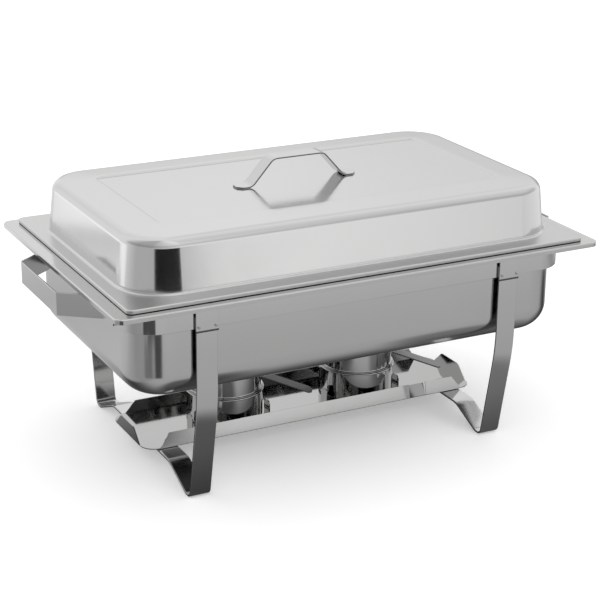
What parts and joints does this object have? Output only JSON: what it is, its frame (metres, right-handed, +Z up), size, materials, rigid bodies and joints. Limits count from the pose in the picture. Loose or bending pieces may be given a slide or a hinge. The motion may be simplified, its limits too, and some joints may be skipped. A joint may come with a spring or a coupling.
{
  "type": "chafing dish",
  "caption": "Rectangular chafing dish: lidded food pan in a water pan on a flat-strip stand, over a slide-out tray with round fuel holders.",
  "frame": {"origin": "centre of the footprint on the surface that the feet stand on", "axes": "+X along the long side to the right, +Y to the rear, +Z up"},
  "size_m": [0.601, 0.35, 0.3155],
  "materials": {
    "lid_steel": "fine satin, near mirror on the top panel",
    "pan_steel": "satin",
    "frame_steel": "polished strip",
    "tray_steel": "polished sheet",
    "holder_steel": "polished",
    "rivet_steel": "plain"
  },
  "bodies": {
    "frame": {"front_band": "frame_steel", "rear_band": "frame_steel", "left_end_handle": "frame_steel", "right_end_handle": "frame_steel", "end_handle_rivets": "rivet_steel", "left_leg_strip": "frame_steel", "right_leg_strip": "frame_steel", "leg_sockets": "frame_steel", "leg_rivets": "rivet_steel"},
    "water_pan": {"water_pan": "pan_steel"},
    "food_pan": {"food_pan": "pan_steel"},
    "lid": {"lid_shell": "lid_steel", "lid_handle": "frame_steel"},
    "tray": {"fuel_tray": "tray_steel"},
    "left_holder": {"left_holder_cup": "holder_steel"},
    "left_cover": {"left_holder_cover": "holder_steel", "left_cover_handle": "frame_steel", "left_cover_handle_rivets": "rivet_steel", "left_damper_rivet": "rivet_steel"},
    "left_damper": {"left_damper": "holder_steel"},
    "right_holder": {"right_holder_cup": "holder_steel"},
    "right_cover": {"right_holder_cover": "holder_steel", "right_cover_handle": "frame_steel", "right_cover_handle_rivets": "rivet_steel", "right_damper_rivet": "rivet_steel"},
    "right_damper": {"right_damper": "holder_steel"}
  },
  "joints": [
    {"name": "water_pan_lift", "type": "slide", "parent": "frame", "child": "water_pan", "axis": [0, 0, 1], "range_m": [0, 0.16]},
    {"name": "food_pan_lift", "type": "slide", "parent": "water_pan", "child": "food_pan", "axis": [0, 0, 1], "range_m": [0, 0.12]},
    {"name": "lid_lift", "type": "slide", "parent": "food_pan", "child": "lid", "axis": [0, 0, 1], "range_m": [0, 0.2]},
    {"name": "tray_slide", "type": "slide", "parent": "frame", "child": "tray", "axis": [1, 0, 0], "range_m": [-0.15, 0.15]},
    {"name": "left_holder_lift", "type": "slide", "parent": "tray", "child": "left_holder", "axis": [0, 0, 1], "range_m": [0, 0.01]},
    {"name": "left_cover_lift", "type": "slide", "parent": "left_holder", "child": "left_cover", "axis": [0, 0, 1], "range_m": [0, 0.01]},
    {"name": "left_damper_swivel", "type": "hinge", "parent": "left_cover", "child": "left_damper", "pos_m": [-0.089, 0.033, 0.0868], "axis": [0, 0, 1], "range_deg": [0, 110]},
    {"name": "right_holder_lift", "type": "slide", "parent": "tray", "child": "right_holder", "axis": [0, 0, 1], "range_m": [0, 0.01]},
    {"name": "right_cover_lift", "type": "slide", "parent": "right_holder", "child": "right_cover", "axis": [0, 0, 1], "range_m": [0, 0.01]},
    {"name": "right_damper_swivel", "type": "hinge", "parent": "right_cover", "child": "right_damper", "pos_m": [0.079, 0.033, 0.0868], "axis": [0, 0, 1], "range_deg": [0, 110]}
  ]
}
